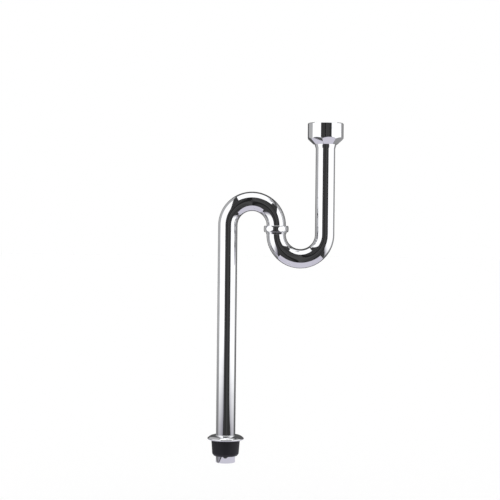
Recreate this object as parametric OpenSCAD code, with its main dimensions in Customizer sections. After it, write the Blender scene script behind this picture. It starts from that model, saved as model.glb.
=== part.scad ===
// Chromed brass S-trap for a wall urinal, in millimetres.
// The inlet axis is the Z axis and both bends lie in the XZ plane, with the tail on the -X side.
// The origin is on the inlet axis, on the face that the urinal's outlet spigot presses on.

/* [Tube] */
// Outside diameter of the tube
tube_d = 32; // [30:0.5:34]
// Wall thickness of the tube
tube_wall = 1.2; // [0.8:0.1:1.6]
// Radius of both bends, measured to the middle of the tube
bend_radius = 40; // [38:1:60]

/* [Layout] */
// Depth of the lower bend's centre under the inlet seat
inlet_drop = 163.5; // [80:0.5:260]
// Height of the swan neck's centre over the lower bend's centre
union_rise = 14; // [14:0.5:40]
// Length of the tail, from the swan neck's centre to its cut end
tail_drop = 391; // [120:1:600]
// Length of bare tail that shows under the floor seal
bare_end = 11; // [5:1:60]

/* [Inlet] */
// Outside diameter of the inlet nut's round band
inlet_nut_d = 59; // [57:0.5:64]
// Height of the inlet nut's mouth over the seat
inlet_mouth_h = 20.5; // [16:0.5:26]
// Depth of the inlet nut's foot under the seat
inlet_foot_h = 14.5; // [13:0.5:18]
// Number of flats on the inlet nut's foot
inlet_flats = 8; // [6:1:12]
// Slope of those flats from the horizontal, in degrees
inlet_flat_slope = 45; // [40:1:50]
// Turn of the first flat's middle from the front, in degrees
inlet_flat_turn = 9.5; // [0:0.5:45]
// Minor diameter of the inlet thread, which suits a G 1 1/2 spigot
inlet_thread_d = 44.9; // [44.5:0.1:45.5]
// Thickness of the inlet gasket
inlet_gasket_h = 3; // [2:0.5:4]
// How much the tube's top is swelled, in radius
bell_swell = 1.8; // [1:0.1:2]

/* [Union] */
// Outside diameter of the union nut over its round parts
union_nut_d = 42.6; // [42:0.2:46]
// Size of the union nut across its flats
union_flat_size = 40; // [39.6:0.2:41]
// Height of the union nut
union_nut_h = 10.4; // [10:0.2:14]
// Turn of the first flat's middle from the front, in degrees
union_flat_turn = 23; // [0:1:60]
// Diameter of the union thread, drawn plain
union_thread_d = 37.8; // [37.4:0.1:38.2]

/* [Floor] */
// Outside diameter of the floor flange
flange_d = 60; // [58:1:90]
// Height of the floor flange from its rim's underside to its top plate
flange_h = 7.1; // [6.5:0.1:9]
// Diameter of the floor seal at its top
seal_top_d = 47.8; // [46:0.2:49]
// Diameter of the floor seal where its taper ends
seal_low_d = 43.8; // [42:0.2:45]
// Height of the floor seal
seal_h = 32; // [24:1:50]

/* [Hidden] */
$fn = 96;
chrome = [0.82, 0.83, 0.86];
raw_brass = [0.78, 0.66, 0.38];
nylon = [0.92, 0.91, 0.87];
rubber = [0.11, 0.11, 0.12];
over = 1; // how far a cutter runs past what it cuts

// Tube
tube_r = tube_d / 2;
bore_r = tube_r - tube_wall;
union_x = -2 * bend_radius;
tail_x = -4 * bend_radius;
low_bend_z = -inlet_drop;
neck_z = low_bend_z + union_rise;
tail_end_z = neck_z - tail_drop;
end_break = 0.4; // bevel on a cut end

// Inlet, from the seat down: gasket, tube rim, slip ring, nut shoulder
bell_r = tube_r + bell_swell;
bell_bore_r = bell_r - tube_wall;
bell_taper = 6;
bell_foot_z = -inlet_foot_h - 7;
rim_r = inlet_thread_d / 2 - 0.45;
rim_z = -inlet_gasket_h;
rim_fillet = 1.2;
inlet_ring_h = 1.6;
inlet_ring_bore_r = bell_r + rim_fillet + 0.3;
inlet_ring_z = rim_z - tube_wall - inlet_ring_h;
inlet_bore_r = bell_r + 0.3;
inlet_relief_r = inlet_thread_d / 2 + 1.75;
inlet_thread_foot = 3; // height of the thread's lower end over the seat
relief_bevel = 1; // slope from the thread's lower end out to the relief
mouth_bevel = 1.5;
band_bevel = 1;
foot_lip = 0.5; // what is left round the bore at the middle of a flat

// Union, from the nut's top down: nut shoulder, slip ring, collar, gasket, ferrule
union_top_z = neck_z - 0.1;
union_foot_z = union_top_z - union_nut_h;
union_shoulder_h = 2;
union_bore_r = tube_r + 1;
union_ring_h = 0.8;
union_ring_z = union_top_z - union_shoulder_h - union_ring_h;
collar_h = 1.5;
collar_z = union_ring_z - collar_h;
collar_r = union_thread_d / 2 - 0.5;
collar_hub_r = tube_r + 0.7;
collar_hub_top_z = union_top_z - 0.7;
union_gasket_h = 2;
joint_z = collar_z - union_gasket_h;
ferrule_r = union_thread_d / 2;
ferrule_bevel = 0.6; // at both ends of the thread
union_nut_clear = 0.1; // between the plain-drawn threads
ferrule_lip_r = tube_r + 1.6;
ferrule_lip_foot_r = tube_r + 0.35;
ferrule_lip_h = 3.8;
crown_r = 12; // curve of the union nut's side from top to foot
union_bevel = 0.5;

// Floor
seal_z = tail_end_z + bare_end;
seal_top_z = seal_z + seal_h;
seal_bevel_h = 3.4;
seal_foot_r = seal_low_d / 2 - 2.5;
seal_edge_w = 0.4; // softens the corner between the foot's bevel and the taper
seal_edge_h = 1.2;
seal_top_bevel_w = 2; // clears the curve inside the flange's shoulder
seal_top_bevel_h = 1.5;
lip_count = 3;
lip_h = 3;
lip_depth = 1.6;
seal_grip = 0.05; // gap between the seal's lips and the tube, so that it can slide
flange_wall = 1.2;
plate_gap = 0.4; // between the flange's plate and the seal's top
flange_bore_r = tube_r + 0.3;
flange_top_z = seal_top_z + plate_gap + flange_wall;
flange_rim_z = flange_top_z - flange_h;
bead_r = 1.7;
shoulder_r = 12;
shoulder_w = 10; // how far the curved shoulder and the bead stand out round the plate
plate_r = flange_d / 2 - shoulder_w;
flange_lip_r = 1;

// A solid of revolution about the vertical line at x, from a profile of [radius, z] points
module turned(x, points) {
    translate([x, 0, 0]) rotate_extrude() polygon(points);
}

// A flat ring about the vertical line at x, with slightly broken edges
module flat_ring(x, outer_r, inner_r, low_z, h, edge = 0.2) {
    turned(x, [
        [inner_r, low_z], [outer_r - edge, low_z], [outer_r, low_z + edge],
        [outer_r, low_z + h - edge], [outer_r - edge, low_z + h], [inner_r, low_z + h]
    ]);
}

// Round bar from the level low_z up to high_z
module bar(x, r, low_z, high_z) {
    translate([x, 0, low_z]) cylinder(r = r, h = high_z - low_z);
}

// Half a turn of round bar in the XZ plane, over its centre, or under it where way is -1
module half_turn(x, z, r, way) {
    translate([x, 0, z]) rotate([way * 90, 0, 0])
        rotate_extrude(angle = 180) translate([bend_radius, 0]) circle(r = r);
}

// The waterway, or the tube's outside, of the inlet tube: swelled top, leg, bend and short leg
module inlet_run(r, swell_r, past) {
    turned(0, [
        [0, bell_foot_z - over], [r, bell_foot_z - over], [r, bell_foot_z],
        [swell_r, bell_foot_z + bell_taper], [swell_r, rim_z + past], [0, rim_z + past]
    ]);
    bar(0, r, low_bend_z, bell_foot_z);
    half_turn(-bend_radius, low_bend_z, r, -1);
    bar(union_x, r, low_bend_z, joint_z + past);
}

// The rim that is turned out at the top of the inlet tube, with the curve that leads into it
module turned_out_rim() {
    rotate_extrude() difference() {
        translate([bell_bore_r, rim_z - tube_wall - rim_fillet])
            square([rim_r - bell_bore_r, tube_wall + rim_fillet]);
        translate([bell_r + rim_fillet, rim_z - tube_wall - rim_fillet]) circle(r = rim_fillet);
        translate([bell_r + rim_fillet, rim_z - tube_wall - rim_fillet - over])
            square([rim_r, rim_fillet + over]);
    }
}

module inlet_tube() {
    color(chrome) difference() {
        union() {
            inlet_run(tube_r, bell_r, 0);
            turned_out_rim();
        }
        inlet_run(bore_r, bell_bore_r, over);
    }
}

// Round body of the inlet nut, before the flats are cut: thread bore, relief, shoulder and foot bore
module inlet_nut_blank() {
    band_r = inlet_nut_d / 2;
    thread_r = inlet_thread_d / 2;
    turned(0, [
        [inlet_bore_r, -inlet_foot_h], [band_r, -inlet_foot_h],
        [band_r, inlet_mouth_h - band_bevel], [band_r - band_bevel, inlet_mouth_h],
        [thread_r + mouth_bevel, inlet_mouth_h], [thread_r, inlet_mouth_h - mouth_bevel],
        [thread_r, inlet_thread_foot], [inlet_relief_r, inlet_thread_foot - relief_bevel],
        [inlet_relief_r, inlet_ring_z], [inlet_bore_r, inlet_ring_z]
    ]);
}

// What one flat takes off the foot of the inlet nut
module foot_flat_cut(turn) {
    size = inlet_nut_d;
    rotate([0, 0, turn - 90]) translate([inlet_bore_r + foot_lip, 0, -inlet_foot_h])
        rotate([0, 90 - inlet_flat_slope, 0]) translate([0, -size, -size])
            cube([size, 2 * size, 2 * size]);
}

module inlet_nut() {
    color(chrome) difference() {
        inlet_nut_blank();
        for (i = [0 : inlet_flats - 1]) foot_flat_cut(inlet_flat_turn + i * 360 / inlet_flats);
    }
}

module inlet_gasket() {
    color(rubber) flat_ring(0, rim_r, bell_bore_r, rim_z, inlet_gasket_h);
}

module inlet_slip_ring() {
    color(nylon) flat_ring(0, rim_r, inlet_ring_bore_r, inlet_ring_z, inlet_ring_h);
}

// Threaded collar on the short leg, with a tapered foot that shows under the union nut
module union_ferrule() {
    lip_top_z = low_bend_z + ferrule_lip_h;
    color(chrome) turned(union_x, [
        [tube_r, low_bend_z], [ferrule_lip_foot_r, low_bend_z], [ferrule_lip_r, lip_top_z],
        [ferrule_r - ferrule_bevel, lip_top_z], [ferrule_r, lip_top_z + ferrule_bevel],
        [ferrule_r, joint_z - ferrule_bevel], [ferrule_r - ferrule_bevel, joint_z], [tube_r, joint_z]
    ]);
}

module union_gasket() {
    color(rubber) flat_ring(union_x, collar_r, bore_r, joint_z, union_gasket_h);
}

// Collar on the outlet tube's end: a flange that takes the nut's pull, and a hub round the tube
module union_collar() {
    color(raw_brass) turned(union_x, [
        [tube_r, collar_z], [collar_r, collar_z], [collar_r, union_ring_z],
        [collar_hub_r, union_ring_z], [collar_hub_r, collar_hub_top_z],
        [tube_r, collar_hub_top_z]
    ]);
}

module union_slip_ring() {
    color(nylon) flat_ring(union_x, collar_r, union_bore_r + 0.2, union_ring_z, union_ring_h, 0.1);
}

// Section of the union nut: a crowned side, a shoulder on top and the thread's bore under it
module union_nut_section() {
    outer_r = union_nut_d / 2;
    thread_r = ferrule_r + union_nut_clear;
    difference() {
        intersection() {
            polygon([
                [union_bore_r, union_foot_z], [outer_r - union_bevel, union_foot_z],
                [outer_r, union_foot_z + union_bevel], [outer_r, union_top_z - union_bevel],
                [outer_r - union_bevel, union_top_z], [union_bore_r, union_top_z]
            ]);
            translate([outer_r - crown_r, (union_foot_z + union_top_z) / 2]) circle(r = crown_r);
        }
        translate([union_bore_r - over, union_foot_z - over])
            square([thread_r - union_bore_r + over, union_nut_h - union_shoulder_h + over]);
    }
}

module union_nut() {
    size = union_nut_d;
    color(chrome) translate([union_x, 0, 0]) difference() {
        rotate_extrude() union_nut_section();
        for (i = [0 : 5]) rotate([0, 0, union_flat_turn - 90 + i * 60])
            translate([union_flat_size / 2, -size / 2, union_foot_z - over])
                cube([size, size, union_nut_h + 2 * over]);
    }
}

// The waterway, or the tube's outside, of the outlet tube: stub, swan neck and tail
module outlet_run(r, past) {
    bar(union_x, r, collar_z - past, neck_z);
    half_turn(union_x - bend_radius, neck_z, r, 1);
    bar(tail_x, r, tail_end_z - past, neck_z);
}

module outlet_tube() {
    color(chrome) difference() {
        outlet_run(tube_r, 0);
        outlet_run(bore_r, over);
        turned(tail_x, [
            [tube_r - end_break, tail_end_z - over], [tube_r + over, tail_end_z - over],
            [tube_r + over, tail_end_z + end_break + over], [tube_r, tail_end_z + end_break],
            [tube_r - end_break, tail_end_z]
        ]);
    }
}

// Pressed cover plate: a raised lip round the tube, a flat plate, a curved shoulder, a rolled rim
module floor_flange() {
    bead_x = flange_d / 2 - bead_r;
    color(chrome) translate([tail_x, 0, 0]) rotate_extrude() {
        translate([flange_bore_r, flange_top_z - flange_wall])
            square([plate_r - flange_bore_r + 0.01, flange_wall]);
        intersection() {
            translate([flange_bore_r, flange_top_z])
                square([flange_lip_r, flange_lip_r]);
            translate([flange_bore_r, flange_top_z]) circle(r = flange_lip_r);
        }
        difference() {
            intersection() {
                translate([plate_r, flange_top_z - shoulder_r]) circle(r = shoulder_r);
                translate([plate_r, flange_rim_z + bead_r])
                    square([bead_x - plate_r, shoulder_r]);
            }
            translate([plate_r, flange_top_z - shoulder_r]) circle(r = shoulder_r - flange_wall);
        }
        translate([bead_x, flange_rim_z + bead_r]) circle(r = bead_r);
    }
}

// Outside of the floor seal: a slow taper, with a bevel at the top and one at the foot
module seal_outline() {
    low_r = seal_low_d / 2;
    top_r = seal_top_d / 2;
    break_z = seal_z + seal_bevel_h;
    polygon([
        [tube_r + seal_grip, seal_z], [seal_foot_r, seal_z],
        [low_r - seal_edge_w, break_z - seal_edge_h], [low_r, break_z],
        [top_r, seal_top_z - seal_top_bevel_h], [top_r - seal_top_bevel_w, seal_top_z],
        [tube_r + seal_grip, seal_top_z]
    ]);
}

// Rubber floor seal, with lips inside that grip the tail and grooves between them
module floor_seal() {
    groove_h = (seal_h - lip_count * lip_h) / (lip_count - 1);
    color(rubber) translate([tail_x, 0, 0]) rotate_extrude() difference() {
        seal_outline();
        for (i = [0 : lip_count - 2])
            translate([tube_r, seal_z + lip_h + i * (lip_h + groove_h)])
                square([lip_depth, groove_h]);
    }
}

inlet_nut();
inlet_gasket();
inlet_slip_ring();
inlet_tube();
union_ferrule();
union_gasket();
union_slip_ring();
union_collar();
union_nut();
outlet_tube();
floor_flange();
floor_seal();
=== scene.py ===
import math

import bmesh
import bpy
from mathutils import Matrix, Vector


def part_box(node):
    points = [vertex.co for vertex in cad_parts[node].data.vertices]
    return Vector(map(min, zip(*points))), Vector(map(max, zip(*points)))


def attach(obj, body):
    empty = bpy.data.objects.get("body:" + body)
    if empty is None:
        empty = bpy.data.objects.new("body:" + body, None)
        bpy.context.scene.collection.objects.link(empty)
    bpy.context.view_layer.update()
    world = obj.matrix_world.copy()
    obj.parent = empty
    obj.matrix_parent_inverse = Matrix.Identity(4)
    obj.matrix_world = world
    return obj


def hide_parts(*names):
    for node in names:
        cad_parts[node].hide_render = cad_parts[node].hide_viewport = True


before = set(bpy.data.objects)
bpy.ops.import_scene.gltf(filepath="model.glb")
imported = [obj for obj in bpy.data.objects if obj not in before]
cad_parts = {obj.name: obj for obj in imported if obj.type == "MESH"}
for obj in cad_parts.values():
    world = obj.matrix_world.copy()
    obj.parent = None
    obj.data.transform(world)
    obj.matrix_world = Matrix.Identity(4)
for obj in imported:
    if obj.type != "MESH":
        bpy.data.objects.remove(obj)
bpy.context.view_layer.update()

mm = 0.001
white = (1.0, 1.0, 1.0, 1.0)
print("Urinal trap: frame loaded with", len(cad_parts), "solids")


# Places that several pieces share, read from the solids
def boxMiddle(node):
    low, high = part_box(node)
    return (low + high) / 2


unionX = boxMiddle("union_nut").x
tailX = boxMiddle("floor_seal").x
tubeRadius = (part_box("outlet_tube")[1].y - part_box("outlet_tube")[0].y) / 2
tubeWall = 1.2 * mm
boreRadius = tubeRadius - tubeWall
bendRadius = -unionX / 2
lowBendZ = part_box("inlet_tube")[0].z + bendRadius + tubeRadius
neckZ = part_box("outlet_tube")[1].z - bendRadius - tubeRadius


# Shader sums, written as Python
class Wire:
    def __init__(self, tree, socket=None):
        self.tree = tree
        self.socket = socket

    # Adds a node: its settings first, then its sockets' values or links
    def node(self, kind, settings=None, sockets=None, output=0):
        made = self.tree.nodes.new(kind)
        for name, value in (settings or {}).items():
            if name == "stops":
                fillRamp(made.color_ramp, value)
            else:
                setattr(made, name, value)
        for name, value in (sockets or {}).items():
            if isinstance(value, Wire):
                self.tree.links.new(value.socket, made.inputs[name])
            else:
                made.inputs[name].default_value = value
        return Wire(self.tree, made.outputs[output] if made.outputs else None)

    def sum(self, operation, first, second):
        return self.node("ShaderNodeMath", {"operation": operation}, {0: first, 1: second})

    def __add__(self, other):
        return self.sum("ADD", self, other)

    def __radd__(self, other):
        return self.sum("ADD", other, self)

    def __sub__(self, other):
        return self.sum("SUBTRACT", self, other)

    def __rsub__(self, other):
        return self.sum("SUBTRACT", other, self)

    def __mul__(self, other):
        return self.sum("MULTIPLY", self, other)

    def __rmul__(self, other):
        return self.sum("MULTIPLY", other, self)

    # 0 below low, 1 above high, and a soft step between them
    def step(self, low, high):
        return self.node("ShaderNodeMapRange", {"interpolation_type": "SMOOTHSTEP"},
                         {"Value": self, "From Min": low, "From Max": high})

    # One colour where the mask is 0, the other where it is 1
    def blend(self, dark, light):
        return self.node("ShaderNodeMix", {"data_type": "RGBA"}, {0: self, 6: dark, 7: light}, 2)


def fillRamp(ramp, stops):
    while len(ramp.elements) < len(stops):
        ramp.elements.new(0.5)
    for element, (place, colour) in zip(ramp.elements, stops):
        element.position = place
        element.color = colour


def grey(level, warmth=0.0):
    return (level * (1 + warmth), level, level * (1 - warmth), 1.0)


def newMaterial(name):
    material = bpy.data.materials.new(name)
    material.use_nodes = True
    material.node_tree.nodes.clear()
    return material, Wire(material.node_tree)


def finishMaterial(shader, settings):
    surface = shader.node("ShaderNodeBsdfPrincipled", None, settings)
    shader.node("ShaderNodeOutputMaterial", None, {"Surface": surface})


def cloud(shader, place, scale, detail=3.0, roughness=0.5):
    return shader.node("ShaderNodeTexNoise", None, {
        "Vector": place, "Scale": scale, "Detail": detail, "Roughness": roughness})


def bump(shader, height, distance, strength=1.0):
    return shader.node("ShaderNodeBump", None, {
        "Height": height, "Distance": distance, "Strength": strength})


chrome = {
    "clean": (0.90, 0.905, 0.925, 1.0),
    "hazed": (0.83, 0.835, 0.86, 1.0),
    "sheen": 0.025,        # roughness of the cleanest plating
    "hazeSheen": 0.05,     # what a haze adds to it
    "waveScale": 55.0,     # slow waves left by the polishing wheel
    "waveHeight": 0.03 * mm,
}


def chromeMaterial(name, waveScale, waveHeight):
    material, shader = newMaterial(name)
    place = shader.node("ShaderNodeTexCoord", None, None, "Object")
    haze = cloud(shader, place, 38.0, 4.0, 0.6).step(0.45, 0.75)
    specks = cloud(shader, place, 900.0, 2.0).step(0.62, 0.80)
    waves = cloud(shader, place, waveScale, 1.0, 0.3)
    finishMaterial(shader, {
        "Base Color": haze.blend(chrome["clean"], chrome["hazed"]),
        "Metallic": 1.0,
        "Roughness": chrome["sheen"] + haze * chrome["hazeSheen"] + specks * 0.03,
        "Normal": bump(shader, waves, waveHeight),
    })
    return material


def dullBrassMaterial(name, base, stain, sheen):
    material, shader = newMaterial(name)
    place = shader.node("ShaderNodeTexCoord", None, None, "Object")
    patches = cloud(shader, place, 90.0, 5.0, 0.65).step(0.35, 0.7)
    grain = cloud(shader, place, 1400.0, 2.0)
    finishMaterial(shader, {
        "Base Color": patches.blend(base, stain),
        "Metallic": 1.0,
        "Roughness": sheen + patches * 0.15,
        "Normal": bump(shader, grain, 0.02 * mm),
    })
    return material


def rubberMaterial():
    material, shader = newMaterial("blackRubber")
    place = shader.node("ShaderNodeTexCoord", None, None, "Object")
    dust = cloud(shader, place, 160.0, 6.0, 0.7).step(0.5, 0.8)
    skin = cloud(shader, place, 2200.0, 3.0, 0.6)
    finishMaterial(shader, {
        "Base Color": dust.blend((0.0075, 0.007, 0.0105, 1.0), (0.014, 0.0125, 0.016, 1.0)),
        "Roughness": 0.42 + dust * 0.18,
        "Specular IOR Level": 0.35,
        "Normal": bump(shader, skin, 0.03 * mm),
    })
    return material


def nylonMaterial():
    material, shader = newMaterial("whiteNylon")
    place = shader.node("ShaderNodeTexCoord", None, None, "Object")
    tint = cloud(shader, place, 300.0, 3.0)
    finishMaterial(shader, {
        "Base Color": tint.blend((0.78, 0.76, 0.70, 1.0), (0.86, 0.84, 0.79, 1.0)),
        "Roughness": 0.4 + tint * 0.1,
        "Normal": bump(shader, tint, 0.02 * mm),
    })
    return material


tubeChrome = chromeMaterial("tubeChrome", chrome["waveScale"], chrome["waveHeight"])
nutChrome = chromeMaterial("nutChrome", 120.0, 0.008 * mm)
boreBrass = dullBrassMaterial("boreBrass", (0.42, 0.36, 0.27, 1), (0.25, 0.20, 0.14, 1), 0.45)
turnedBrass = dullBrassMaterial("turnedBrass", (0.72, 0.56, 0.28, 1), (0.55, 0.40, 0.18, 1), 0.25)
rubber = rubberMaterial()
nylon = nylonMaterial()
print("Materials made")


# Shapes: every piece is a closed section, carried round a middle line
# A section point is (distance along the line, radius, material), with the last counted from 0
def evenAngles(count):
    return [2 * math.pi * i / count for i in range(count)]


def upright(x):
    def at(height):
        return Vector((x, 0, height)), Vector((1, 0, 0))
    return at


# A leg, half a turn towards -X and a leg back, where way is 1 for up first and -1 for down first
def hairpin(startX, startZ, way, leg):
    turn = math.pi * bendRadius

    def at(distance):
        if distance <= leg:
            return Vector((startX, 0, startZ + way * distance)), Vector((1, 0, 0))
        if distance < leg + turn:
            angle = (distance - leg) / bendRadius
            out = Vector((math.cos(angle), 0, way * math.sin(angle)))
            return Vector((startX - bendRadius, 0, startZ + way * leg)) + out * bendRadius, out
        back = distance - leg - turn
        return Vector((startX - 2 * bendRadius, 0, startZ + way * (leg - back))), Vector((-1, 0, 0))
    return at


# Rounds a section's corners, each given as (along, radius, rounding, material)
def soften(corners, steps=4):
    points = []
    for i, (along, radius, rounding, slot) in enumerate(corners):
        here = Vector((along, radius))
        before = Vector(corners[i - 1][:2]) - here
        after = Vector(corners[(i + 1) % len(corners)][:2]) - here
        if rounding == 0 or before.length == 0 or after.length == 0:
            points.append((along, radius, slot))
            continue
        turn = math.pi - before.angle(after)
        back = min(rounding * math.tan(turn / 2), before.length * 0.48, after.length * 0.48)
        start = here + before.normalized() * back
        end = here + after.normalized() * back
        for k in range(steps + 1):
            t = k / steps
            point = start * (1 - t) ** 2 + here * 2 * t * (1 - t) + end * t ** 2
            points.append((point.x, point.y, slot))
    return points


# Adds points to a section's long stretches inside a bend, and a few outside it
def subdivide(points, bendStart, bendEnd, fine, coarse):
    made = []
    for i, (along, radius, slot) in enumerate(points):
        made.append((along, radius, slot))
        nextAlong, nextRadius = points[(i + 1) % len(points)][:2]
        stops = [along, nextAlong]
        if abs(nextAlong - along) > coarse:
            low, high = sorted(stops)
            stops += [p for p in (bendStart, bendEnd) if low < p < high]
            stops.sort(reverse=nextAlong < along)
        for a, b in zip(stops, stops[1:]):
            inBend = min(a, b) >= bendStart - 1e-6 and max(a, b) <= bendEnd + 1e-6
            pieces = max(1, round(abs(b - a) / (fine if inBend else coarse)))
            for k in range(1, pieces + 1):
                here = a + (b - a) * k / pieces
                if abs(here - nextAlong) > 1e-7:
                    share = (here - along) / (nextAlong - along)
                    made.append((here, radius + (nextRadius - radius) * share, slot))
    return made


# Carries sectionAt(angle) round the line and closes it. thread = (first, last, rows in a pitch)
# names the section's rows that climb one pitch in a turn, so that they meet themselves shifted
def carry(name, at, sectionAt, angles, materials, thread=None):
    mesh = bmesh.new()
    columns, slots = [], []
    for angle in angles:
        column = []
        section = sectionAt(angle)
        slots = [point[2] for point in section]
        for along, radius, slot in section:
            middle, out = at(along)
            side = Vector((0, radius * math.sin(angle), 0))
            column.append(mesh.verts.new(middle + out * (radius * math.cos(angle)) + side))
        columns.append(column)
    rows = len(slots)
    for j, column in enumerate(columns):
        other = columns[(j + 1) % len(columns)]
        closing = j + 1 == len(columns)
        for i in range(rows):
            if thread and closing and thread[0] <= i < thread[1]:
                continue
            addFace(mesh, (column[i], column[(i + 1) % rows], other[(i + 1) % rows], other[i]), slots[i])
        if thread and closing:
            first, last, pitchRows = thread
            for i in range(first - pitchRows, last):
                here = [min(max(k, first), last) for k in (i, i + 1)]
                there = [min(max(k + pitchRows, first), last) for k in (i, i + 1)]
                addFace(mesh, (column[here[0]], column[here[1]], other[there[1]], other[there[0]]),
                        slots[first])
    bmesh.ops.remove_doubles(mesh, verts=mesh.verts, dist=1e-7)
    bmesh.ops.recalc_face_normals(mesh, faces=mesh.faces)
    return finishMesh(name, mesh, materials)


def addFace(mesh, corners, slot):
    unlike = []
    for corner in corners:
        if corner not in unlike:
            unlike.append(corner)
    if len(unlike) > 2:
        face = mesh.faces.new(unlike)
        face.smooth = True
        face.material_index = slot


def finishMesh(name, mesh, materials):
    data = bpy.data.meshes.new(name)
    mesh.to_mesh(data)
    mesh.free()
    for material in materials:
        data.materials.append(material)
    piece = bpy.data.objects.new(name, data)
    bpy.context.scene.collection.objects.link(piece)
    return piece


# Keeps flat faces flat beside small rounded edges
def keepFlats(piece):
    flats = piece.modifiers.new("flats", "WEIGHTED_NORMAL")
    flats.mode = "FACE_AREA"
    flats.weight = 100
    flats.keep_sharp = False


def standFor(piece, node, body):
    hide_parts(node)
    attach(piece, body)


# The smaller of two radii, with the edge where they cross eased over the width given
def easedLeast(a, b, width):
    reach = max(width - abs(a - b), 0.0) / width
    return min(a, b) - reach * reach * width / 4


# How far off the nearest flat's middle an angle is, for flats that start at the turn given
def offFlat(angle, turn, count):
    spacing = 2 * math.pi / count
    first = math.radians(turn - 90)
    return (angle - first + spacing / 2) % spacing - spacing / 2


# Rows of a thread along a bore or a bar. Each is (along, how deep, 0 to 1) at one angle
def threadRows(low, high, pitch, angle, pitchRows):
    rows = []
    for i in range(int(round((high - low) / pitch * pitchRows)) + pitchRows + 1):
        along = min(max(low + pitch * (i / pitchRows - 1 + angle / (2 * math.pi)), low), high)
        phase = (i % pitchRows) / pitchRows
        depth = min(max(1.25 - abs(phase - 0.5) * 3.2, 0.0), 1.0)
        ends = min((along - low) / (0.5 * pitch), (high - along) / (0.5 * pitch), 1.0)
        rows.append((along, depth * max(ends, 0.0)))
    return rows


# The inlet tube: swelled top with its turned-out rim, leg, bend and short leg
inletTube = {
    "rimWall": 1.2 * mm,
    "rimFillet": 1.4 * mm,
    "swell": 1.8 * mm,
    "swellEnd": 12.5 * mm,    # below the rim's top
    "taper": 6.0 * mm,
    "taperEase": 6.0 * mm,
    "around": 128,
    "bendStep": 1.75 * mm,
    "legStep": 12.0 * mm,
}


def makeInletTube():
    size = inletTube
    low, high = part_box("inlet_tube")
    rimRadius = high.x
    leg = high.z - lowBendZ
    bendEnd = leg + math.pi * bendRadius
    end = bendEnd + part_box("union_ferrule")[1].z - lowBendZ
    bell = tubeRadius + size["swell"]
    bellBore = bell - tubeWall
    taperEnd = size["swellEnd"] + size["taper"]
    section = soften([
        (0, rimRadius, 0.3 * mm, 0),
        (size["rimWall"], rimRadius, 0.3 * mm, 0),
        (size["rimWall"], bell, size["rimFillet"], 0),
        (size["swellEnd"], bell, size["taperEase"], 0),
        (taperEnd, tubeRadius, size["taperEase"], 0),
        (end, tubeRadius, 0.3 * mm, 0),
        (end, boreRadius, 0.3 * mm, 1),
        (taperEnd, boreRadius, size["taperEase"], 1),
        (size["swellEnd"], bellBore, size["taperEase"], 1),
        (0, bellBore, 1.0 * mm, 0),
    ])
    section = subdivide(section, leg, bendEnd, size["bendStep"], size["legStep"])
    piece = carry("inletTube", hairpin(0, high.z, -1, leg), lambda angle: section,
                  evenAngles(size["around"]), [tubeChrome, boreBrass])
    standFor(piece, "inlet_tube", "inlet_tube")


# The outlet tube: stub in the union, swan neck and long tail
outletTube = {
    "endBreak": 0.4 * mm,
    "around": 128,
    "bendStep": 1.75 * mm,
    "legStep": 16.0 * mm,
}


def makeOutletTube():
    size = outletTube
    low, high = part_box("outlet_tube")
    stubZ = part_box("union_collar")[0].z
    leg = neckZ - stubZ
    bendEnd = leg + math.pi * bendRadius
    end = bendEnd + neckZ - low.z
    section = soften([
        (0, boreRadius, 0.2 * mm, 1),
        (0, tubeRadius, 0.2 * mm, 0),
        (end, tubeRadius, size["endBreak"], 0),
        (end, boreRadius, size["endBreak"], 1),
    ])
    section = subdivide(section, leg, bendEnd, size["bendStep"], size["legStep"])
    piece = carry("outletTube", hairpin(unionX, stubZ, 1, leg), lambda angle: section,
                  evenAngles(size["around"]), [tubeChrome, boreBrass])
    standFor(piece, "outlet_tube", "outlet_tube")


# The inlet nut: round band, eight flats at 45 degrees on the foot, thread inside the mouth
inletNut = {
    "flats": 8,
    "flatTurn": 9.5,              # first flat's middle, from the front
    "foot": 18.6 * mm,            # from the axis to a flat's foot
    "edge": 0.5 * mm,             # how softly two faces meet
    "bandBevel": 1.0 * mm,
    "bore": 18.1 * mm,
    "shoulder": -5.8 * mm,        # from the seat
    "relief": 24.2 * mm,
    "threadMinor": 22.45 * mm,
    "threadDepth": 1.3 * mm,
    "pitch": 2.309 * mm,
    "pitchRows": 12,
    "mouth": 23.95 * mm,
    "perFlat": 14,
}


# Angles that are evenly spread and closer together at the ridges between the flats
def flatAngles(size, turn, count, ridge):
    spacing = 2 * math.pi / count
    first = math.radians(turn - 90) - spacing / 2
    shares = [-ridge, -ridge / 2, 0, ridge / 2, ridge]
    steps = size["perFlat"]
    shares += [ridge + (1 - 2 * ridge) * k / steps for k in range(1, steps)]
    return sorted((first + spacing * (k + share)) % (2 * math.pi)
                  for k in range(count) for share in shares)


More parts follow.
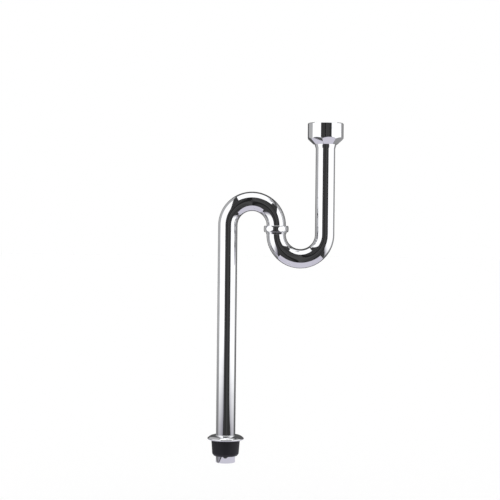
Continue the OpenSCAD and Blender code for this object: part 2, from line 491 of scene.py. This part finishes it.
def makeInletNut():
    size = inletNut
    low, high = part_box("inlet_nut")
    band, foot, mouth = high.x, low.z, high.z
    bevel = size["bandBevel"]
    threadLow, threadHigh = 2.2 * mm, mouth - 1.2 * mm

    def outer(angle, height):
        off = offFlat(angle, size["flatTurn"], size["flats"])
        spacing = 2 * math.pi / size["flats"]
        face = (size["foot"] + height - foot) / math.cos(off)
        nextFace = (size["foot"] + height - foot) / math.cos(spacing - abs(off))
        return easedLeast(easedLeast(face, nextFace, size["edge"]), band, size["edge"])

    def sectionAt(angle):
        off = offFlat(angle, size["flatTurn"], size["flats"])
        edge = foot + band * math.cos(off) - size["foot"]
        heights = [mouth - bevel - 0.5 * mm, mouth * 0.4, edge + 2 * size["edge"]]
        heights += [edge + size["edge"] * k / 4 for k in range(4, -5, -1)]
        footTop = foot + 0.35 * mm
        start = edge - size["edge"]
        heights += [start + (footTop - start) * k / 5 for k in range(1, 6)]
        wall = [(height, outer(angle, height), 0) for height in heights]
        rim = soften([
            (mouth, size["mouth"], 0.25 * mm, 0),
            (mouth, band - bevel, 0.3 * mm, 0),
            (mouth - bevel, band, 0.3 * mm, 0),
            (wall[0][0], wall[0][1], 0, 0),
        ], 3)[:-1]
        footRadius = outer(angle, foot)
        underside = soften([
            (footTop, wall[-1][1], 0, 0),
            (foot, footRadius - 0.1 * mm, 0.3 * mm, 0),
            (foot, size["bore"] + 0.15 * mm, 0.15 * mm, 0),
            (foot + 0.4 * mm, size["bore"], 0, 1),
            (size["shoulder"], size["bore"], 0.2 * mm, 1),
            (size["shoulder"], size["relief"], 0.3 * mm, 1),
            (threadLow - 0.6 * mm, size["relief"], 0, 1),
        ], 3)[1:]
        inside = [(along, size["threadMinor"] + size["threadDepth"] * depth, 1) for along, depth in
                  threadRows(threadLow, threadHigh, size["pitch"], angle, size["pitchRows"])]
        sectionAt.thread = (len(rim) + len(wall) + len(underside),
                            len(rim) + len(wall) + len(underside) + len(inside) - 1, size["pitchRows"])
        return rim + wall + underside + inside

    sectionAt(0.0)
    piece = carry("inletNut", upright(0), sectionAt,
                  flatAngles(size, size["flatTurn"], size["flats"], 0.035),
                  [nutChrome, turnedBrass], sectionAt.thread)
    keepFlats(piece)
    standFor(piece, "inlet_nut", "inlet_nut")


# The union nut: crowned side with six flats, so that each flat has a round outline
unionNut = {
    "flats": 6,
    "flatTurn": 23.0,
    "flatSize": 20.0 * mm,     # from the axis
    "crown": 12.0 * mm,        # curve of the side, from top to foot
    "edge": 0.06 * mm,
    "shoulder": 2.0 * mm,
    "bore": 17.0 * mm,
    "threadMinor": 19.0 * mm,
    "threadDepth": 0.45 * mm,
    "pitch": 1.5 * mm,
    "pitchRows": 8,
    "rows": 44,
    "around": 360,
}


def makeUnionNut():
    size = unionNut
    low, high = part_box("union_nut")
    width = (high.x - low.x) / 2
    middle = (low.z + high.z) / 2
    reach = (high.z - low.z) / 2 - 0.25 * mm
    threadHigh = high.z - size["shoulder"] - 0.3 * mm

    def outer(angle, height):
        crown = width - size["crown"] + math.sqrt(size["crown"] ** 2 - (height - middle) ** 2)
        face = size["flatSize"] / math.cos(offFlat(angle, size["flatTurn"], size["flats"]))
        return easedLeast(crown, face, size["edge"])

    def sectionAt(angle):
        heights = [middle + reach * (1 - 2 * k / size["rows"]) for k in range(size["rows"] + 1)]
        wall = [(height, outer(angle, height), 0) for height in heights]
        top = soften([
            (high.z - size["shoulder"], size["bore"], 0.2 * mm, 0),
            (high.z, size["bore"], 0.3 * mm, 0),
            (high.z, wall[0][1] - 0.15 * mm, 0.3 * mm, 0),
            (wall[0][0], wall[0][1], 0, 0),
        ], 3)[:-1]
        underside = soften([
            (wall[-1][0], wall[-1][1], 0, 0),
            (low.z, wall[-1][1] - 0.15 * mm, 0.3 * mm, 0),
            (low.z, size["threadMinor"] + 0.3 * mm, 0, 1),
        ], 3)[1:]
        inside = [(along, size["threadMinor"] + size["threadDepth"] * depth, 1) for along, depth in
                  threadRows(low.z + 0.3 * mm, threadHigh, size["pitch"], angle, size["pitchRows"])]
        first = len(top) + len(wall) + len(underside)
        sectionAt.thread = (first, first + len(inside) - 1, size["pitchRows"])
        return top + wall + underside + inside + [(high.z - size["shoulder"], size["threadMinor"], 1)]

    sectionAt(0.0)
    piece = carry("unionNut", upright(unionX), sectionAt, evenAngles(size["around"]),
                  [nutChrome, turnedBrass], sectionAt.thread)
    keepFlats(piece)
    standFor(piece, "union_nut", "union_nut")


# The ferrule on the short leg: tapered foot, and the thread that the union nut turns on
unionFerrule = {
    "lip": 17.6 * mm,
    "lipFoot": 16.35 * mm,
    "lipHeight": 3.8 * mm,
    "threadDepth": 0.8 * mm,
    "pitch": 1.5 * mm,
    "pitchRows": 8,
    "around": 96,
}


def makeUnionFerrule():
    size = unionFerrule
    low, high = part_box("union_ferrule")
    crest = (high.x - low.x) / 2
    lipZ = low.z + size["lipHeight"]

    def sectionAt(angle):
        foot = soften([
            (high.z, tubeRadius, 0, 0),
            (low.z, tubeRadius, 0, 0),
            (low.z, size["lipFoot"], 0.15 * mm, 0),
            (lipZ, size["lip"], 0.5 * mm, 0),
            (lipZ, crest - size["threadDepth"], 0, 1),
        ], 3)
        outside = [(along, crest - size["threadDepth"] * (1 - depth), 1) for along, depth in
                   threadRows(lipZ + 0.1 * mm, high.z - 0.2 * mm, size["pitch"], angle, size["pitchRows"])]
        sectionAt.thread = (len(foot), len(foot) + len(outside) - 1, size["pitchRows"])
        return foot + outside + [(high.z, crest - size["threadDepth"] - 0.2 * mm, 1)]

    sectionAt(0.0)
    piece = carry("unionFerrule", upright(unionX), sectionAt, evenAngles(size["around"]),
                  [nutChrome, turnedBrass], sectionAt.thread)
    keepFlats(piece)
    standFor(piece, "union_ferrule", "inlet_tube")


# A rubber washer with soft edges and two shallow rings pressed in its top
def makeGasket(name, node, body, x):
    low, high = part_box(node)
    outer = (high.x - low.x) / 2
    inner = tubeRadius + 0.6 * mm if node == "inlet_gasket" else boreRadius
    width = outer - inner
    corners = [(low.z, inner, 0.3 * mm, 0), (low.z, outer, 0.5 * mm, 0), (high.z, outer, 0.5 * mm, 0)]
    for share in (0.68, 0.32):
        middle = inner + width * share
        corners += [(high.z, middle + 0.45 * mm, 0.2 * mm, 0),
                    (high.z - 0.25 * mm, middle, 0.2 * mm, 0),
                    (high.z, middle - 0.45 * mm, 0.2 * mm, 0)]
    corners.append((high.z, inner, 0.3 * mm, 0))
    section = soften(corners)
    piece = carry(name, upright(x), lambda angle: section, evenAngles(96), [rubber])
    keepFlats(piece)
    standFor(piece, node, body)


# The floor flange: raised lip round the tail, flat plate, curved shoulder and rolled rim
floorFlange = {
    "bore": 16.3 * mm,
    "lip": 1.0 * mm,
    "plate": 20.0 * mm,
    "shoulder": 12.0 * mm,
    "wall": 1.2 * mm,
    "bead": 1.7 * mm,
    "around": 160,
}


def makeFloorFlange():
    size = floorFlange
    low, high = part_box("floor_flange")
    top = high.z - size["lip"]
    beadRadius = high.x - tailX - size["bead"]
    beadZ = low.z + size["bead"]
    section = [(top - size["wall"], size["bore"], 0), (high.z - 0.15 * mm, size["bore"], 0)]
    for k in range(9):
        angle = math.radians(84 - 84 * k / 8)
        section.append((top + size["lip"] * math.sin(angle),
                        size["bore"] + size["lip"] * math.cos(angle), 0))
    lastAngle = math.acos((beadRadius - size["plate"]) / size["shoulder"])
    for k in range(25):
        angle = math.pi / 2 + (lastAngle - math.pi / 2) * k / 24
        section.append((top - size["shoulder"] * (1 - math.sin(angle)),
                        size["plate"] + size["shoulder"] * math.cos(angle), 0))
    for k in range(21):
        angle = math.radians(60 - 230 * k / 20)
        section.append((beadZ + size["bead"] * math.sin(angle),
                        beadRadius + size["bead"] * math.cos(angle), 0))
    innerShoulder = size["shoulder"] - size["wall"]
    for k in range(17):
        angle = lastAngle + (math.pi / 2 - lastAngle) * k / 16
        section.append((top - size["shoulder"] + innerShoulder * math.sin(angle),
                        size["plate"] + innerShoulder * math.cos(angle), 0))
    piece = carry("floorFlange", upright(tailX), lambda angle: section,
                  evenAngles(size["around"]), [nutChrome])
    keepFlats(piece)
    standFor(piece, "floor_flange", "floor_flange")


# The floor seal: a slightly conical rubber bung with lips that grip the tail
floorSeal = {
    "low": 21.9 * mm,
    "foot": 19.4 * mm,
    "bevel": 3.4 * mm,
    "topBevel": (2.0 * mm, 1.5 * mm),
    "grip": 16.05 * mm,
    "groove": 17.6 * mm,
    "lips": 3,
    "lipHeight": 3.0 * mm,
    "around": 128,
}


def makeFloorSeal():
    size = floorSeal
    low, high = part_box("floor_seal")
    top = high.x - tailX
    inWidth, inHeight = size["topBevel"]
    grooveHeight = (high.z - low.z - size["lips"] * size["lipHeight"]) / (size["lips"] - 1)
    corners = [
        (low.z, size["grip"], 0.4 * mm, 0),
        (low.z, size["foot"], 0.8 * mm, 0),
        (low.z + size["bevel"], size["low"], 1.6 * mm, 0),
        (high.z - inHeight, top, 0.8 * mm, 0),
        (high.z, top - inWidth, 0.6 * mm, 0),
        (high.z, size["grip"], 0.4 * mm, 0),
    ]
    for k in range(size["lips"] - 1, 0, -1):
        grooveTop = low.z + size["lipHeight"] * k + grooveHeight * k
        corners += [(grooveTop, size["grip"], 0.4 * mm, 0),
                    (grooveTop, size["groove"], 0.4 * mm, 0),
                    (grooveTop - grooveHeight, size["groove"], 0.4 * mm, 0),
                    (grooveTop - grooveHeight, size["grip"], 0.4 * mm, 0)]
    section = soften(corners, 5)
    piece = carry("floorSeal", upright(tailX), lambda angle: section,
                  evenAngles(size["around"]), [rubber])
    keepFlats(piece)
    standFor(piece, "floor_seal", "floor_seal")


# Hidden pieces keep their solids and get their finish
def dressSolid(node, material):
    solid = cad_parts[node]
    solid.data.materials.clear()
    solid.data.materials.append(material)


makeInletTube()
makeOutletTube()
print("Tubes made")
makeInletNut()
makeUnionNut()
makeUnionFerrule()
print("Nuts and ferrule made")
makeGasket("inletGasket", "inlet_gasket", "inlet_tube", 0)
makeGasket("unionGasket", "union_gasket", "inlet_tube", unionX)
makeFloorFlange()
makeFloorSeal()
dressSolid("inlet_slip_ring", nylon)
dressSolid("union_slip_ring", nylon)
dressSolid("union_collar", turnedBrass)
print("Gaskets, flange and seal made")


# Studio: a white world for the camera and for plain light. Polished metal sees the set instead,
# which is two tall light walls, one overhead, a pale table and a dark room in front
studio = {
    "darkRoom": (0.012, 0.075),     # brightness of the darkest and lightest streaks
    "backRoom": 0.10,
    "wallGlow": 1.16,
    "wallFoot": -0.63,
    "wallTop": 0.36,
    "tableZ": -0.62,
    "tableColour": (0.64, 0.62, 0.70, 1.0),
    "floorZ": -0.66,
}


def makeWorld():
    world = bpy.data.worlds.new("studio")
    bpy.context.scene.world = world
    world.use_nodes = True
    world.node_tree.nodes.clear()
    shader = Wire(world.node_tree)
    toSky = shader.node("ShaderNodeTexCoord", None, None, "Generated")
    split = shader.node("ShaderNodeSeparateXYZ", None, {0: toSky}, 0)
    sky = split.socket.node
    across, depth = split, Wire(world.node_tree, sky.outputs[1])
    turn = shader.sum("ARCTAN2", across, depth * -1)
    streaks = shader.node("ShaderNodeTexNoise", {"noise_dimensions": "1D"},
                          {"W": turn, "Scale": 5.5, "Detail": 3.0, "Roughness": 0.7}).step(0.3, 0.7)
    low, high = studio["darkRoom"]
    front = streaks.blend(grey(low), grey(high))
    back = depth.step(-0.1, 0.3)
    seen = back.blend(front, grey(studio["backRoom"]))
    shiny = shader.node("ShaderNodeLightPath", None, None, "Is Glossy Ray")
    light = shader.node("ShaderNodeBackground", None, {
        "Color": shiny.blend(white, seen), "Strength": 1.0})
    shader.node("ShaderNodeOutputWorld", None, {"Surface": light})


# A card that only polished surfaces see. Its colour goes from the foot's to the top's over the fade
def makeCard(name, corners, colours, fade):
    data = bpy.data.meshes.new(name)
    data.from_pydata([Vector(corner) for corner in corners], [], [(0, 1, 2, 3)])
    card = bpy.data.objects.new(name, data)
    bpy.context.scene.collection.objects.link(card)
    material, shader = newMaterial(name)
    place = shader.node("ShaderNodeTexCoord", None, None, "Object")
    height = shader.node("ShaderNodeSeparateXYZ", None, {0: place}, 2)
    glow = shader.node("ShaderNodeEmission", None, {
        "Color": height.step(*fade).blend(*colours), "Strength": 1.0})
    shader.node("ShaderNodeOutputMaterial", None, {"Surface": glow})
    data.materials.append(material)
    card.visible_camera = False
    card.visible_diffuse = False
    card.visible_transmission = False
    card.visible_shadow = False


def makeWall(name, front, back, colours, fade):
    low, high = studio["wallFoot"], studio["wallTop"]
    makeCard(name, [(*front, low), (*back, low), (*back, high), (*front, high)], colours, fade)


def makeStudio():
    glow = grey(studio["wallGlow"])
    dim = (0.30, 0.29, 0.33, 1.0)
    makeWall("leftWall", (-0.79, -1.20), (-0.50, 0.03), (dim, glow), (-0.62, -0.37))
    makeWall("rightWall", (0.86, -1.20), (0.50, 0.22), (dim, glow), (-0.68, -0.43))
    makeWall("leftBack", (-0.50, 0.03), (-0.40, 0.45), (grey(0.2), grey(0.45)), (-0.6, -0.3))
    makeWall("rightBack", (0.50, 0.22), (0.40, 0.50), (grey(0.15), grey(0.35)), (-0.6, -0.3))
    top = 0.55
    makeCard("overhead", [(-0.5, -0.62, top), (0.5, -0.62, top), (0.5, 0.3, top), (-0.5, 0.3, top)],
             (glow, glow), (0, 1))
    table = studio["tableZ"]
    makeCard("table", [(-0.46, -0.38, table), (0.42, -0.38, table), (0.42, 0.5, table), (-0.46, 0.5, table)],
             (studio["tableColour"], studio["tableColour"]), (0, 1))


def makeFloor():
    data = bpy.data.meshes.new("floor")
    reach, z = 30.0, studio["floorZ"]
    data.from_pydata([(-reach, -reach, z), (reach, -reach, z), (reach, reach, z), (-reach, reach, z)],
                     [], [(0, 1, 2, 3)])
    floor = bpy.data.objects.new("floor", data)
    bpy.context.scene.collection.objects.link(floor)
    material, shader = newMaterial("paleFloor")
    finishMaterial(shader, {"Base Color": (1.0, 1.0, 1.0, 1.0), "Roughness": 1.0, "Specular IOR Level": 0.0})
    data.materials.append(material)
    floor.visible_glossy = False


# Camera: level, a little rolled, at the height of the union
camera = {
    "place": (-0.1232, -2.2299, -0.1656),
    "roll": 0.602,
    "lens": 97.2,             # on a 36 mm sensor: 1350 pixels over a picture of 500
    "shiftY": -14.76 / 500,
}


def makeCamera():
    data = bpy.data.cameras.new("camera")
    data.lens = camera["lens"]
    data.sensor_width = 36.0
    data.shift_y = camera["shiftY"]
    holder = bpy.data.objects.new("camera", data)
    holder.location = camera["place"]
    holder.rotation_mode = "XYZ"
    level = Vector((0, 1, 0)).to_track_quat("-Z", "Z")
    holder.rotation_euler = level.to_euler()
    holder.rotation_euler.rotate_axis("Z", math.radians(camera["roll"]))
    bpy.context.scene.collection.objects.link(holder)
    bpy.context.scene.camera = holder


makeWorld()
makeStudio()
makeFloor()
makeCamera()
bpy.context.scene.view_settings.view_transform = "Standard"
print("Studio and camera made")
